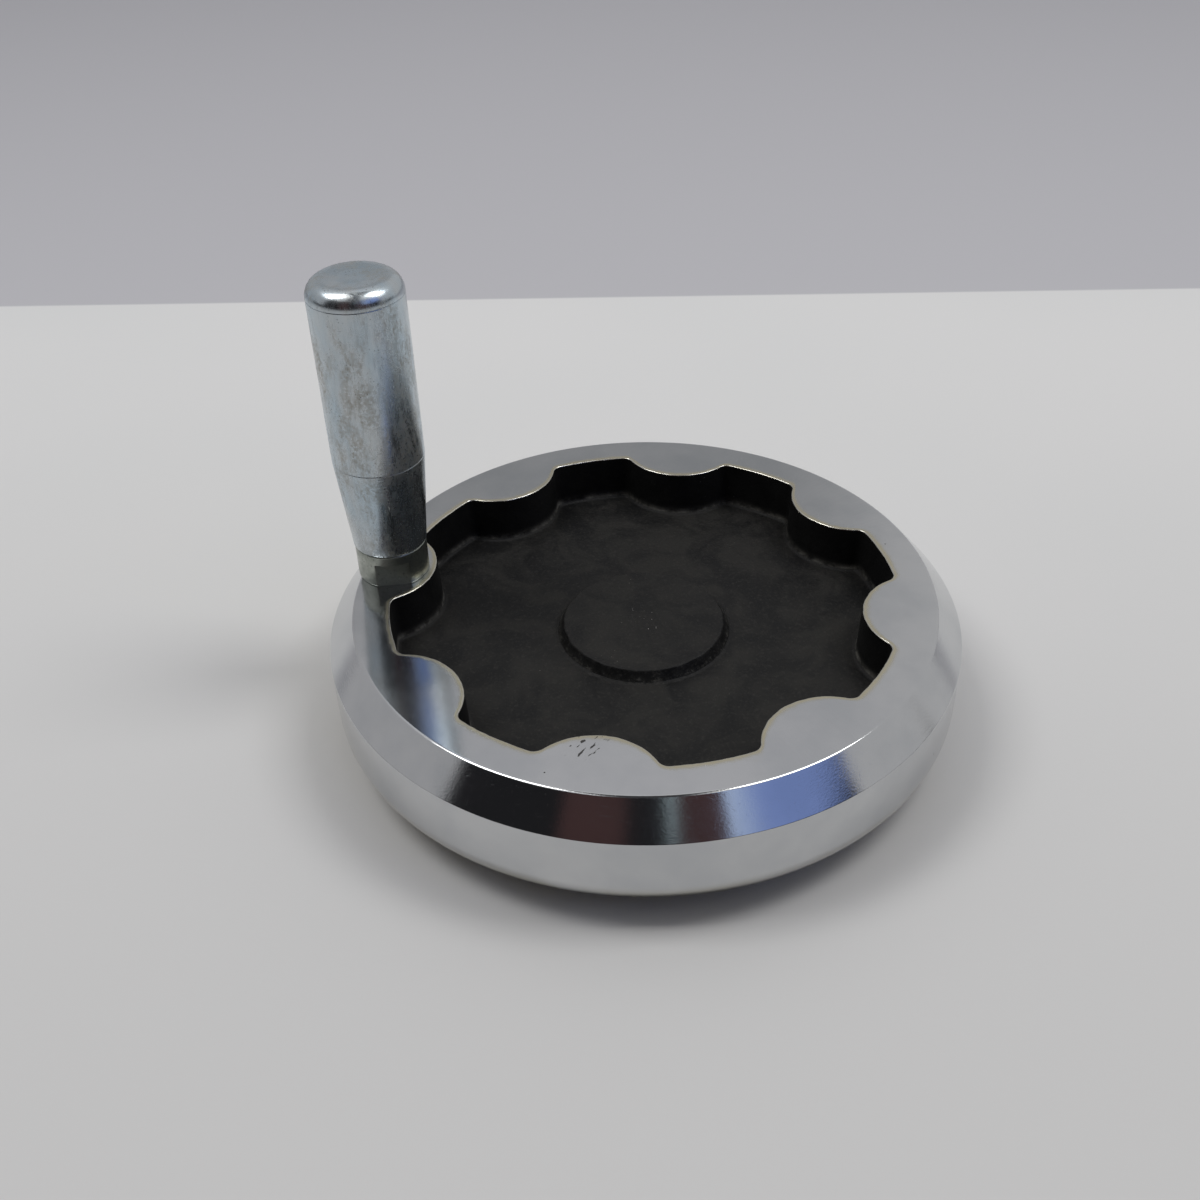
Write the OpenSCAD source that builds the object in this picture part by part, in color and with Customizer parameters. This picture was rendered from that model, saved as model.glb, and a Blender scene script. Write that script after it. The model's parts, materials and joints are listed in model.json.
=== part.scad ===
// Cast-iron handwheel with a scalloped finger pocket and a revolving steel handle.
// Millimetres, +Z up. The origin is on the hub's axis, at the hub's back face.

/* [Wheel] */
// Largest diameter of the rim
wheel_d = 160; // [130:1:200]
// Height of the rim, from its underside to its front face
rim_h = 28.5; // [26:0.5:40]
// Thickness of the rim's back part, from the outer wall inwards
rim_w = 22; // [21:0.5:26]
// Width of the front chamfer, measured along the radius
chamfer_w = 6.7; // [3:0.1:9]
// Height of the front chamfer, measured along the axis
chamfer_h = 7.7; // [3:0.1:10]
// Radius of the rim's outer back corner
back_corner_r = 7; // [2:0.5:9]
// Radius of the rim's inner back corner
back_inner_r = 4; // [1:0.5:6]
// Thickness of the web behind the pocket
web_t = 7.5; // [5:0.5:9]

/* [Finger pocket] */
// Depth of the pocket below the front face
pocket_depth = 12.75; // [8:0.25:16]
// Width of the flat front face between the pocket and the chamfer
face_w = 9.1; // [6:0.1:12]
// Number of finger lobes round the pocket
lobe_count = 8; // [5:1:8]
// Radius of each lobe
lobe_r = 16.3; // [12:0.1:18]
// How far a lobe reaches in from the pocket's wall
lobe_reach = 9.15; // [5:0.05:11]
// Radius in the corners between the lobes and the wall
pocket_corner_r = 2.8; // [1:0.1:3.2]

/* [Hub] */
// Diameter of the blank boss in the pocket
boss_d = 41; // [34:0.5:50]
// How far the boss's side spreads out from its face to its foot
boss_lean = 2; // [0.5:0.25:3]
// Height of the boss above the pocket's floor
boss_h = 3; // [1:0.25:6]
// Diameter of the hub behind the web
hub_d = 40; // [34:0.5:50]
// How far the hub stands out behind the rim
hub_stand = 6.5; // [4:0.25:16]
// Diameter of the shaft bore
bore_d = 16; // [10:0.5:18]
// Thickness of the boss in front of the blind bore
bore_skin = 4.25; // [3:0.25:6]
// Width of the keyway
key_w = 5; // [3:0.5:6]
// Depth of the keyway beyond the bore
key_depth = 2.3; // [1.2:0.1:3]
// Length of the run-out recess at the blind end of the keyway
key_relief = 3.5; // [2:0.5:5]
// Bevel at the mouth of the bore
bore_bevel = 0.6; // [0.2:0.1:1.5]

/* [Set screws] */
// Thread diameter of the set screws
screw_d = 5; // [3:0.5:6]
// Length of a set screw
screw_len = 8; // [5:0.5:8]
// Height of the set screws above the hub's back face
screw_z = 4.5; // [4:0.25:8]
// Width of the screws' hexagon socket, across its flats
screw_af = 2.5; // [1.5:0.1:3]

/* [Handle] */
// Distance from the handle's axis to the outer edge of the rim
handle_inset = 14.1; // [13:0.1:16]
// Diameter of the collar that rests on the rim
collar_d = 18.3; // [16:0.1:21]
// Height of the collar
collar_h = 9.3; // [6:0.1:12]
// Width across the collar's two wrench flats
flat_af = 16; // [13:0.5:17]
// Height of the wrench flats
flat_h = 6.6; // [4:0.1:8]
// Angle of the wrench flats about the handle's axis
flat_turn = -72; // [-180:1:180]
// Thread diameter of the spindle's stud
stud_d = 10; // [8:0.5:12]
// Length of the stud
stud_len = 23; // [14:0.5:25]
// Diameter of the spindle's bearing journals
journal_d = 12; // [10:0.5:13]
// Diameter of the grip
grip_d = 22.9; // [21:0.1:27]
// Diameter of the grip's lower end
grip_low_d = 18.7; // [17:0.1:20]
// Length of the grip
grip_len = 71.65; // [60:0.1:95]
// Length of the grip's tapered part
taper_len = 25; // [10:0.5:35]
// Radius round the grip's top edge
grip_edge_r = 4.1; // [2:0.1:6]
// Thickness of the grip's closed end
grip_end_t = 7.5; // [6:0.5:12]
// Wire diameter of the snap ring
ring_wire = 1.6; // [1:0.1:1.8]
// Height of the snap ring above the grip's lower end
ring_z = 12; // [6:0.5:18]

/* [Fits] */
// Radial clearance of the grip on its spindle
run_fit = 0.05; // [0.02:0.01:0.1]
// Radial clearance of a screw in its thread
thread_fit = 0.04; // [0.02:0.01:0.1]
// Gap between the grip and the collar
end_gap = 0.15; // [0.1:0.05:0.4]
// Room round the snap ring in the grip's groove
ring_room = 0.4; // [0.3:0.05:0.6]

/* [Hidden] */
$fn = 96;
eps = 0.01;

wheel_r = wheel_d / 2;
rim_z = hub_stand;                        // underside of the rim
face_z = rim_z + rim_h;                   // front face of the rim
floor_z = face_z - pocket_depth;          // floor of the pocket
boss_z = floor_z + boss_h;                // front face of the boss
web_z = floor_z - web_t;                  // back of the web
rim_in_r = wheel_r - rim_w;               // inner wall of the rim, behind the web
face_r = wheel_r - chamfer_w;             // outer edge of the flat front face
pocket_r = face_r - face_w;               // wall of the pocket between the lobes
lobe_tip_r = pocket_r - lobe_reach;
lobe_pitch_r = lobe_tip_r + lobe_r;
web_root = 5;                             // the rim's own strip of web inside the lobes' tips
web_r = lobe_tip_r - web_root;            // where the web meets the rim
lobe_step = 360 / lobe_count;
bore_r = bore_d / 2;
bore_depth = boss_z - bore_skin;
screw_r = screw_d / 2;
key_r = bore_r + key_depth;               // bottom of the keyway
key_side = 90;                            // the keyway faces +Y
screw_sides = [[0, bore_r], [key_side, key_r]];
screw_back = 0.4;                         // each screw stays this far out of the bore or keyway
screw_socket = 2.5;                       // depth of a screw's hexagon socket
screw_tip = 0.8;                          // bevel at a screw's point

handle_side = 180;                        // the handle stands on the lobe that faces -X
handle_r = wheel_r - handle_inset;
collar_r = collar_d / 2;
collar_bevel = 0.4;
grip_z = face_z + collar_h + end_gap;     // lower end of the grip
grip_top = grip_z + grip_len;
grip_r = grip_d / 2;
grip_low_r = grip_low_d / 2;
journal_r = journal_d / 2;
spindle_gap = 1.5;                        // end of the spindle to the bottom of the grip's bore
bore_top = grip_top - grip_end_t;
spindle_top = bore_top - spindle_gap;
spindle_bevel = 1;
waist_cut = 0.6;                          // the spindle is thinner between its two journals
journal_low_len = ring_z + 3 * ring_wire; // the lower journal holds the ring's groove
journal_high_len = 15;
stud_r = stud_d / 2;
stud_bevel = 1;
undercut = 0.8;                           // thread run-out under the collar
undercut_len = 2;
ring_r = ring_wire / 2;
ring_mid_z = grip_z + ring_z;
ring_gap_angle = 40;
groove_play = 0.1;                        // the ring's play in the spindle's groove
boss_bevel = 0.8;
boss_foot_r = boss_d / 2 + boss_lean;

// Puts children on the handle's axis, at the wheel's front face
module on_handle_axis() {
    rotate(handle_side)
        translate([handle_r, 0, face_z])
            children();
}

// The quarter corner outside an arc of radius r, with its point at the origin
module corner_outside(r) {
    difference() {
        translate([-eps, -eps])
            square(r + eps);
        translate([r, r])
            circle(r = r);
    }
}

// Outline of the scalloped pocket
module pocket_outline() {
    c_r = pocket_r - pocket_corner_r;
    b_r = lobe_r + pocket_corner_r;
    turn = acos((c_r ^ 2 + lobe_pitch_r ^ 2 - b_r ^ 2) / (2 * c_r * lobe_pitch_r));
    centre = c_r * [cos(turn), sin(turn)];
    to_wall = centre / c_r;
    to_lobe = ([lobe_pitch_r, 0] - centre) / b_r;
    reach = 1.6 * pocket_corner_r;
    difference() {
        circle(r = pocket_r, $fn = 180);
        for (k = [0 : lobe_count - 1])
            rotate(k * lobe_step) {
                translate([lobe_pitch_r, 0])
                    circle(r = lobe_r);
                for (side = [0, 1])
                    mirror([0, side])
                        difference() {
                            polygon([
                                centre,
                                centre + reach * to_wall,
                                centre + reach * (to_wall + to_lobe),
                                centre + reach * to_lobe
                            ]);
                            translate(centre)
                                circle(r = pocket_corner_r + eps, $fn = 48);
                        }
            }
    }
}

// Section of the rim: chamfer in front, rounded corners behind
module rim_section() {
    difference() {
        polygon([
            [0, rim_z],
            [wheel_r, rim_z],
            [wheel_r, face_z - chamfer_h],
            [face_r, face_z],
            [0, face_z]
        ]);
        translate([wheel_r, rim_z])
            mirror([1, 0])
                corner_outside(back_corner_r);
        translate([-1, rim_z - 1])
            square([rim_in_r + 1, web_z - rim_z + 1]);
        translate([-1, web_z - 1])
            square([web_r + 1, web_t + 1]);
        translate([rim_in_r, rim_z])
            corner_outside(back_inner_r);
    }
}

// The heavy rim of the casting, with its finger lobes and the tapped hole for the handle
module wheel_rim() {
    color("gainsboro")
        difference() {
            rotate_extrude($fn = 180)
                rim_section();
            translate([0, 0, floor_z])
                linear_extrude(pocket_depth + 1)
                    pocket_outline();
            on_handle_axis()
                translate([0, 0, -rim_h - 1])
                    cylinder(r = stud_r + thread_fit, h = rim_h + 2);
        }
}

// The dished plate between the rim and the hub
module wheel_web() {
    color("dimgray")
        translate([0, 0, web_z])
            difference() {
                cylinder(r = web_r, h = web_t, $fn = 180);
                translate([0, 0, -1])
                    cylinder(d = hub_d, h = web_t + 2);
            }
}

// The hub: blank boss in front, blind keyed bore and set screw holes behind
module wheel_hub() {
    color("dimgray")
        difference() {
            rotate_extrude()
                polygon([
                    [0, 0],
                    [hub_d / 2 - boss_bevel, 0],
                    [hub_d / 2, boss_bevel],
                    [hub_d / 2, floor_z],
                    [boss_foot_r, floor_z],
                    [boss_d / 2, boss_z - boss_bevel],
                    [boss_d / 2 - boss_bevel, boss_z],
                    [0, boss_z]
                ]);
            hub_bore();
            for (s = screw_sides)
                rotate(s[0])
                    translate([bore_r / 2, 0, screw_z])
                        rotate([0, 90, 0])
                            cylinder(r = screw_r + thread_fit, h = hub_d);
        }
}

// The space cut for the shaft and its key
module hub_bore() {
    translate([0, 0, -1])
        cylinder(r = bore_r, h = bore_depth + 1);
    translate([0, 0, -eps])
        cylinder(r1 = bore_r + bore_bevel, r2 = bore_r, h = bore_bevel);
    translate([0, 0, bore_depth - key_relief])
        cylinder(r = key_r + 0.5, h = key_relief);
    rotate(key_side)
        translate([0, -key_w / 2, -1])
            cube([key_r, key_w, bore_depth - key_relief / 2 + 1]);
}

// Two socket set screws, one on the shaft and one over the key
module hub_set_screws() {
    color("darkslategray")
        for (s = screw_sides)
            rotate(s[0])
                translate([s[1] + screw_back, 0, screw_z])
                    rotate([0, 90, 0])
                        difference() {
                            union() {
                                cylinder(r1 = screw_r - screw_tip, r2 = screw_r, h = screw_tip);
                                translate([0, 0, screw_tip])
                                    cylinder(r = screw_r, h = screw_len - screw_tip);
                            }
                            translate([0, 0, screw_len - screw_socket])
                                cylinder(d = screw_af / cos(30), h = screw_socket + 1, $fn = 6);
                        }
}

// The fixed spindle: stud, collar with two wrench flats, and two bearing journals
module handle_spindle() {
    color("silver")
        on_handle_axis()
            difference() {
                rotate_extrude()
                    spindle_section();
                for (side = [0, 180])
                    rotate(flat_turn + side)
                        translate([flat_af / 2, -collar_r, -eps])
                            cube([collar_r, 2 * collar_r, flat_h + eps]);
                translate([0, 0, ring_mid_z - face_z - ring_r - groove_play])
                    difference() {
                        cylinder(r = journal_r + 1, h = ring_wire + 2 * groove_play);
                        translate([0, 0, -1])
                            cylinder(r = journal_r - ring_r, h = ring_wire + 2);
                    }
            }
}

// Half section of the spindle, with z = 0 at the wheel's front face
module spindle_section() {
    low = collar_h + end_gap + journal_low_len;
    top = spindle_top - face_z;
    high = top - journal_high_len;
    polygon([
        [0, -stud_len],
        [stud_r - stud_bevel, -stud_len],
        [stud_r, -stud_len + stud_bevel],
        [stud_r, -undercut_len],
        [stud_r - undercut, -undercut_len + undercut],
        [stud_r - undercut, 0],
        [collar_r - collar_bevel, 0],
        [collar_r, collar_bevel],
        [collar_r, collar_h - collar_bevel],
        [collar_r - collar_bevel, collar_h],
        [journal_r, collar_h],
        [journal_r, low],
        [journal_r - waist_cut, low + waist_cut],
        [journal_r - waist_cut, high - waist_cut],
        [journal_r, high],
        [journal_r, top - spindle_bevel],
        [journal_r - spindle_bevel, top],
        [0, top]
    ]);
}

// The open wire ring that keeps the grip on its spindle
module spindle_snap_ring() {
    color("dimgray")
        on_handle_axis()
            translate([0, 0, ring_mid_z - face_z])
                rotate(ring_gap_angle / 2)
                    rotate_extrude(angle = 360 - ring_gap_angle)
                        translate([journal_r + groove_play / 2, 0])
                            circle(r = ring_r - groove_play / 4, $fn = 32);
}

// The revolving grip: a turned steel sleeve with a closed, rounded end
module handle_grip() {
    color("lightsteelblue")
        on_handle_axis()
            translate([0, 0, grip_z - face_z])
                difference() {
                    rotate_extrude()
                        difference() {
                            polygon([
                                [0, 0],
                                [grip_low_r, 0],
                                [grip_r, taper_len],
                                [grip_r, grip_len],
                                [0, grip_len]
                            ]);
                            translate([grip_r, grip_len])
                                mirror([1, 0])
                                    mirror([0, 1])
                                        corner_outside(grip_edge_r);
                        }
                    translate([0, 0, -1])
                        cylinder(r = journal_r + run_fit, h = grip_len - grip_end_t + 1);
                    translate([0, 0, ring_z - ring_r - ring_room])
                        cylinder(r = journal_r + ring_r + ring_room, h = ring_wire + 2 * ring_room);
                }
}

wheel_rim();
wheel_web();
wheel_hub();
hub_set_screws();
handle_spindle();
spindle_snap_ring();
handle_grip();
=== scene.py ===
"""A cast-iron handwheel with a scalloped finger pocket and a revolving steel handle, ready to render."""

import json
import math

import bmesh
import bpy
from bpy.props import FloatProperty, FloatVectorProperty, IntProperty, PointerProperty
from bpy.types import Operator, Panel, PropertyGroup
from mathutils import Matrix, Vector, noise


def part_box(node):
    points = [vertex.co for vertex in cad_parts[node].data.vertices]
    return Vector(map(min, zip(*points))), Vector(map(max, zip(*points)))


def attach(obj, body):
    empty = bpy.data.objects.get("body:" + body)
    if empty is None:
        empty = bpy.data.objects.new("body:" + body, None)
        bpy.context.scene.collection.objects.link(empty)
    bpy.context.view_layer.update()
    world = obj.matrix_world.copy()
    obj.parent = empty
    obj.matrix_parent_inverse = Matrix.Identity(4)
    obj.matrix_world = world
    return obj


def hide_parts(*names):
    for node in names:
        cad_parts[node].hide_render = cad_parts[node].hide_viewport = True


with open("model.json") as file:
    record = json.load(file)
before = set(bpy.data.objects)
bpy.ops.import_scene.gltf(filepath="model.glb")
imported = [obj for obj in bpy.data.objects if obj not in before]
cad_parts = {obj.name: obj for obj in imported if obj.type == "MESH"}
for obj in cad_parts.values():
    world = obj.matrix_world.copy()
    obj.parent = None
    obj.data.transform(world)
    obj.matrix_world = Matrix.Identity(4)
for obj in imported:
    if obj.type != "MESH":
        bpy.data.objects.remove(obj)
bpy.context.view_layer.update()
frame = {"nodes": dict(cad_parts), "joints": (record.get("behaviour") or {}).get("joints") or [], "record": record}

bl_info = {
    "name": "Cast-Iron Handwheel",
    "version": (1, 0, 0),
    "blender": (4, 5, 0),
    "location": "View3D > Sidebar > Handwheel",
    "description": "Builds a plated and painted handwheel with its revolving handle, and a plain studio",
    "category": "Object",
}

MM = 0.001
TURN = 2 * math.pi

# ------------------------------------------------------------------ places that the frame gives


def cad_places():
    """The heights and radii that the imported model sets, in metres."""
    rim_low, rim_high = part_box("wheel_rim")
    web_low, web_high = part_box("wheel_web")
    hub_low, hub_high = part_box("wheel_hub")
    spindle_low, spindle_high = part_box("handle_spindle")
    grip_low, grip_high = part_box("handle_grip")
    ring_low, ring_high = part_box("spindle_snap_ring")
    bore = next(m for m in frame["record"]["mounts"] if m["name"] == "hub_bore")
    joint = next(j for j in frame["joints"] if j["name"] == "grip_spin")
    return {
        "wheel_r": frame["record"]["size"]["bbox_m"][0] / 2,
        "rim_z": rim_low.z,
        "face_z": rim_high.z,
        "web_z": web_low.z,
        "floor_z": web_high.z,
        "web_r": round((web_high.x - web_low.x) / 2, 5),
        "hub_z": hub_low.z,
        "boss_z": hub_high.z,
        "bore_r": bore["dims"]["r_mm"] * MM,
        "axis_x": joint["pos_m"][0],
        "axis_y": joint["pos_m"][1],
        "stud_z": spindle_low.z,
        "spindle_z": spindle_high.z,
        "collar_r": round((spindle_high.x - spindle_low.x) / 2, 5),
        "grip_z": grip_low.z,
        "grip_top": grip_high.z,
        "grip_r": round((grip_high.x - grip_low.x) / 2, 5),
        "ring_mid_z": (ring_low.z + ring_high.z) / 2,
        "ring_wire": ring_high.z - ring_low.z,
    }


CAD = cad_places()


# ------------------------------------------------------------------ colours and nodes


def rgba(code):
    """Turns an sRGB hex colour such as #C0C4C8 into the linear colour that a socket holds."""
    parts = [int(code[i : i + 2], 16) / 255 for i in (1, 3, 5)]
    return tuple(c / 12.92 if c <= 0.04045 else ((c + 0.055) / 1.055) ** 2.4 for c in parts) + (1.0,)


def per(size):
    """The texture scale that gives features of this size, in metres."""
    return 1 / size


def give(tree, node, inputs):
    """Gives each named or numbered input of a node its value or its link."""
    for key, value in inputs.items():
        socket = node.inputs[key]
        if isinstance(value, bpy.types.NodeSocket):
            tree.links.new(value, socket)
        else:
            socket.default_value = value


def add(tree, kind, inputs=None, **settings):
    """Adds a node with its settings, values and links."""
    made = tree.nodes.new(kind)
    for key, value in settings.items():
        setattr(made, key, value)
    give(tree, made, inputs or {})
    return made


def ramp(tree, factor, low, high, from_value=0.0, to_value=1.0):
    """A smooth step of factor between low and high."""
    inputs = {0: factor, 1: low, 2: high, 3: from_value, 4: to_value}
    return add(tree, "ShaderNodeMapRange", inputs, interpolation_type="SMOOTHSTEP").outputs[0]


def math_node(tree, operation, a, b=0.0):
    """One sum on numbers."""
    return add(tree, "ShaderNodeMath", {0: a, 1: b}, operation=operation).outputs[0]


def times(tree, *factors):
    """The product of two or more numbers."""
    product = factors[0]
    for factor in factors[1:]:
        product = math_node(tree, "MULTIPLY", product, factor)
    return product


def plus(tree, a, b):
    """The sum of two numbers."""
    return math_node(tree, "ADD", a, b)


def larger(tree, a, b):
    """The larger of two numbers."""
    return math_node(tree, "MAXIMUM", a, b)


def mix_colour(tree, factor, a, b):
    """Mixes two colours."""
    return add(tree, "ShaderNodeMix", {0: factor, 6: a, 7: b}, data_type="RGBA").outputs[2]


def lay(tree, under, over, factor, strength=1.0):
    """Lays a colour over another as far as factor says, times a strength."""
    return mix_colour(tree, factor if strength == 1 else times(tree, factor, strength), under, over)


def noise_node(tree, vector, size, detail=2.0, roughness=0.5, distortion=0.0):
    """Noise with features of a real size."""
    inputs = {
        "Vector": vector,
        "Scale": per(size),
        "Detail": detail,
        "Roughness": roughness,
        "Distortion": distortion,
    }
    return add(tree, "ShaderNodeTexNoise", inputs).outputs["Fac"]


def spots(tree, place, spacing, outer, inner):
    """Round spots, one for each spacing, that fade between two radii given as shares of it."""
    cells = add(tree, "ShaderNodeTexVoronoi", {"Vector": place, "Scale": per(spacing)}, feature="F1")
    return ramp(tree, cells.outputs["Distance"], outer, inner)


def stretched(tree, vector, factors):
    """Coordinates squeezed along some axes, so that a pattern runs long the other way."""
    return add(tree, "ShaderNodeMapping", {"Vector": vector, "Scale": factors}).outputs["Vector"]


def axes_of(tree, place):
    """The three coordinates of a place."""
    return add(tree, "ShaderNodeSeparateXYZ", {0: place}).outputs


def radius_of(tree, place):
    """The distance from the wheel's upright axis."""
    x, y, _ = axes_of(tree, place)
    flat = add(tree, "ShaderNodeCombineXYZ", {0: x, 1: y}).outputs[0]
    return add(tree, "ShaderNodeVectorMath", {0: flat}, operation="LENGTH").outputs["Value"]


def new_material(name, metallic):
    """An empty node material with its shader and output, and the Object coordinates."""
    material = bpy.data.materials.new(name)
    material.use_nodes = True
    tree = material.node_tree
    tree.nodes.clear()
    shader = add(tree, "ShaderNodeBsdfPrincipled", {"Metallic": metallic})
    add(tree, "ShaderNodeOutputMaterial", {"Surface": shader.outputs["BSDF"]})
    place = add(tree, "ShaderNodeTexCoord").outputs["Object"]
    return material, tree, shader, place


def finish_shader(tree, shader, colour, rough, *bumps):
    """Gives the shader its colour, its roughness and a chain of bumps, each one a (height, strength,
    depth in metres)."""
    give(tree, shader, {"Base Color": colour, "Roughness": rough})
    for height, strength, depth in bumps:
        made = add(tree, "ShaderNodeBump", {"Height": height, "Strength": strength, "Distance": depth})
        before = shader.inputs["Normal"].links
        if before:
            give(tree, made, {"Normal": before[0].from_socket})
        give(tree, shader, {"Normal": made.outputs["Normal"]})


# ------------------------------------------------------------------ materials


def chromium_plate(finish):
    """Bright chromium plate over turned and buffed cast iron: a mirror with a faint haze and orange peel,
    hairline wipe marks, small pits, a warm tone where the plate thins towards an edge, and a painted warm
    reflection low on the band."""
    material, tree, shader, place = new_material("chromium_plate", metallic=1.0)
    x, y, height = axes_of(tree, place)
    blotch = noise_node(tree, place, 14 * MM, detail=3)
    # painted reflection: a warm tone low on the band stands in for the shade under the rim that it mirrors; along
    # the pocket's edge the plate thins
    low = ramp(tree, height, CAD["rim_z"] + 8 * MM, CAD["rim_z"] + 1 * MM)
    wear = add(tree, "ShaderNodeAttribute", attribute_name="edge_wear").outputs["Fac"]
    patchy = noise_node(tree, place, 2.2 * MM, detail=3, roughness=0.65)
    edge = ramp(tree, plus(tree, wear, times(tree, patchy, 0.5)), 0.55, 1.3)
    thin = larger(tree, times(tree, low, ramp(tree, blotch, 0.25, 0.6)), edge)
    hazy = ramp(tree, blotch, 0.3, 0.75)
    colour = lay(tree, finish.chrome_colour, finish.chrome_haze_colour, hazy)
    colour = lay(tree, colour, finish.chrome_thin_and_reflection_colour, thin, 0.85)
    # pits, one here and there, about 0.5 mm across
    rare = ramp(tree, noise_node(tree, place, 11 * MM), 0.62, 0.68)
    pit = times(tree, spots(tree, place, 3.2 * MM, 0.085, 0.05), rare)
    # a few slanting nicks lie together on the front lobe's edge
    away = add(tree, "ShaderNodeVectorMath", {0: place, 1: finish.nick_place}, operation="DISTANCE")
    near = ramp(tree, away.outputs["Value"], 7 * MM, 5 * MM)
    slanting = add(tree, "ShaderNodeVectorRotate", {"Vector": place, "Angle": 0.5}, rotation_type="Z_AXIS")
    long_ones = stretched(tree, slanting.outputs[0], (1, 0.25, 1))
    strokes = noise_node(tree, long_ones, 0.8 * MM, detail=2, roughness=0.6)
    nick = times(tree, ramp(tree, strokes, 0.63, 0.66), near)
    marked = larger(tree, pit, nick)
    colour = lay(tree, colour, finish.pit_colour, marked, 0.9)
    # polishing grains lie round the wheel, and hairlines anywhere
    arc = times(tree, math_node(tree, "ARCTAN2", y, x), CAD["wheel_r"])
    round_wheel = add(tree, "ShaderNodeCombineXYZ", {0: times(tree, arc, 0.4), 1: height}).outputs[0]
    polish = noise_node(tree, round_wheel, 0.35 * MM, detail=3, roughness=0.7)
    lines_a = noise_node(tree, stretched(tree, place, (1, 0.04, 0.3)), 0.25 * MM, detail=1)
    lines_b = noise_node(tree, stretched(tree, place, (0.05, 1, 0.3)), 0.3 * MM, detail=1)
    hair = larger(tree, ramp(tree, lines_a, 0.66, 0.78), ramp(tree, lines_b, 0.68, 0.8))
    rough = ramp(tree, noise_node(tree, place, 30 * MM, detail=4), 0.3, 0.75, 0.07, 0.13)
    for part, share in ((hair, 0.12), (edge, 0.28), (marked, 0.4)):
        rough = plus(tree, rough, times(tree, part, share))
    peel = noise_node(tree, place, 0.8 * MM, detail=2)
    buffing = noise_node(tree, place, 9 * MM, detail=1)
    sunk = math_node(tree, "SUBTRACT", 1.0, pit)
    bumps = (
        (buffing, 0.35, 0.03 * MM),
        (peel, 0.3, 0.004 * MM),
        (polish, 0.8, 0.016 * MM),
        (hair, 0.15, 0.004 * MM),
        (sunk, 0.5, 0.08 * MM),
    )
    finish_shader(tree, shader, colour, rough, *bumps)
    return material


def black_casting_paint(finish):
    """Air-dried black paint brushed over a sand casting: semi-matt and mottled, brown-grey where it is thin,
    with the casting's grain under it and a few pale specks of dust, painted shade on the pocket's side and the
    boss's foot, and a painted highlight along the pocket's corner."""
    material, tree, shader, place = new_material("black_casting_paint", metallic=0.0)
    x, y, height = axes_of(tree, place)
    floor, boss = CAD["floor_z"], CAD["boss_z"]
    patches = noise_node(tree, place, 13 * MM, detail=5, roughness=0.62, distortion=0.6)
    colour = lay(tree, finish.paint_dark, finish.paint_brown, ramp(tree, patches, 0.35, 0.65))
    grain = noise_node(tree, place, 0.9 * MM, detail=3, roughness=0.65)
    colour = lay(tree, colour, finish.paint_worn, ramp(tree, grain, 0.5, 0.72), 0.35)
    # painted highlight: a broken pale line along the corner between floor and wall, where the fillet catches the
    # light
    above = ramp(tree, height, floor + 0.25 * MM, floor + 0.7 * MM)
    below = ramp(tree, height, floor + 2.2 * MM, floor + 0.9 * MM)
    broken = ramp(tree, noise_node(tree, place, 4 * MM, detail=4, roughness=0.7), 0.35, 0.7, 0.0, 0.5)
    colour = lay(tree, colour, finish.dust_and_corner_highlight, times(tree, above, below, broken))
    # painted shade: the pocket's side and, ragged, the front of the boss's side are darkened where shade falls
    ragged = noise_node(tree, place, 1.3 * MM, detail=5, roughness=0.85)
    wobble = times(tree, math_node(tree, "SUBTRACT", ragged, 0.5), 6 * MM)
    radius = plus(tree, radius_of(tree, place), wobble)
    boss_side_shade = times(
        tree,
        ramp(tree, radius, 20.6 * MM, 20.9 * MM),
        ramp(tree, radius, 22.3 * MM, 21.8 * MM),
        ramp(tree, height, boss - 0.1 * MM, boss - 0.5 * MM),
        ramp(tree, math_node(tree, "SUBTRACT", y, times(tree, x, 0.2)), 14 * MM, -8 * MM),
    )
    pocket_wall_shade = times(
        tree,
        ramp(tree, height, floor + 1.6 * MM, floor + 3 * MM),
        ramp(tree, radius, 30 * MM, 31 * MM),
    )
    colour = lay(tree, colour, finish.painted_shade_colour, larger(tree, boss_side_shade, pocket_wall_shade), 0.85)
    few = ramp(tree, noise_node(tree, place, 13 * MM), 0.6, 0.7)
    speck = times(tree, spots(tree, place, 1.5 * MM, 0.1, 0.06), few)
    colour = lay(tree, colour, finish.dust_and_corner_highlight, speck, 0.6)
    # a few bare grains shine in the middle of the boss
    bare = times(
        tree,
        spots(tree, place, 1.1 * MM, 0.16, 0.1),
        ramp(tree, ragged, 0.5, 0.58),
        ramp(tree, radius, 7 * MM, 4.5 * MM),
    )
    colour = lay(tree, colour, finish.paint_bare, bare, 0.9)
    shader.inputs["IOR"].default_value = 1.5
    shader.inputs["Specular IOR Level"].default_value = 0.18
    rough = ramp(tree, patches, 0.3, 0.7, 0.5, 0.72)
    sand = noise_node(tree, place, 0.6 * MM, detail=2, roughness=0.65)
    lumps = noise_node(tree, place, 3.5 * MM, detail=3)
    bumps = (lumps, 0.8, 0.25 * MM), (sand, 0.7, 0.09 * MM)
    finish_shader(tree, shader, colour, rough, *bumps)
    return material


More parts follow.
